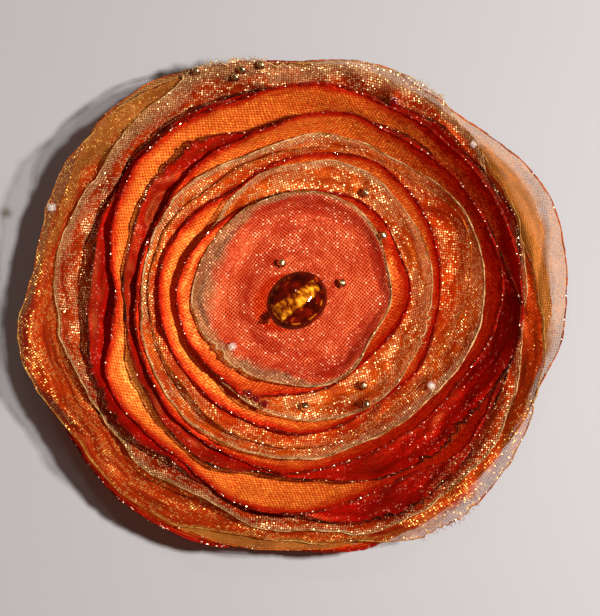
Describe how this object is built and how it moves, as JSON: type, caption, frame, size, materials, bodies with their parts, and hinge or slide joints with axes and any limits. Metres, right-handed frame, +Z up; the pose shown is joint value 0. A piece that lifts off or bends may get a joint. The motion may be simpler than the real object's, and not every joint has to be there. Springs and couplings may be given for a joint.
{
  "type": "layered fabric flower",
  "caption": "Round flower of nested satin and organza discs with curled, heat-sealed rims, stitched through an oval glass bead and dotted with seed beads.",
  "frame": {"origin": "middle of the flower's plan, on the surface that it lies on", "axes": "+Z up out of the flower's face, +X towards the right of the picture, +Y towards its top"},
  "size_m": [0.1054, 0.0949, 0.017],
  "materials": {
    "satin_orange": "bright orange satin with a red melted rim",
    "satin_red": "red-orange satin with a melted rim",
    "satin_coral": "coral satin with a melted rim",
    "organza_peach": "sheer peach organza with an orange rim",
    "organza_bronze": "sheer bronze organza with metallic threads",
    "organza_cream": "sheer cream organza with metallic threads",
    "organza_maroon": "sheer maroon organza with a scorched rim",
    "organza_orange": "sheer orange organza",
    "organza_gold": "sheer gold organza with a cream rim",
    "amber_glass": "dark amber glass, polished",
    "bronze_bead": "glass seed bead with a bronze mirror coat",
    "clear_bead": "clear glass seed bead, silver lined",
    "red_bead": "dark red cut glass seed bead",
    "sewing_thread": "red-brown sewing thread"
  },
  "bodies": {
    "root": {"satin_base": "satin_orange", "organza_peach": "organza_peach", "organza_bronze": "organza_bronze", "organza_cream_wide": "organza_cream", "organza_maroon_wide": "organza_maroon", "satin_wide": "satin_orange", "organza_maroon_narrow": "organza_maroon", "satin_middle": "satin_orange", "organza_cream_edge": "organza_gold", "organza_orange": "organza_orange", "satin_narrow": "satin_orange", "organza_gold": "organza_gold", "satin_red": "satin_red", "satin_coral_centre": "satin_coral", "organza_cream_centre": "organza_cream", "glass_bead": "amber_glass", "stitch_thread": "sewing_thread", "seed_bead_01": "bronze_bead", "seed_bead_02": "bronze_bead", "seed_bead_03": "bronze_bead", "seed_bead_04": "bronze_bead", "seed_bead_05": "bronze_bead", "seed_bead_06": "bronze_bead", "seed_bead_07": "bronze_bead", "seed_bead_08": "bronze_bead", "seed_bead_09": "bronze_bead", "seed_bead_10": "bronze_bead", "seed_bead_11": "bronze_bead", "seed_bead_12": "clear_bead", "seed_bead_13": "clear_bead", "seed_bead_14": "clear_bead", "seed_bead_15": "clear_bead", "seed_bead_16": "red_bead", "seed_bead_17": "red_bead", "seed_bead_18": "red_bead", "seed_bead_19": "red_bead"}
  },
  "joints": []
}
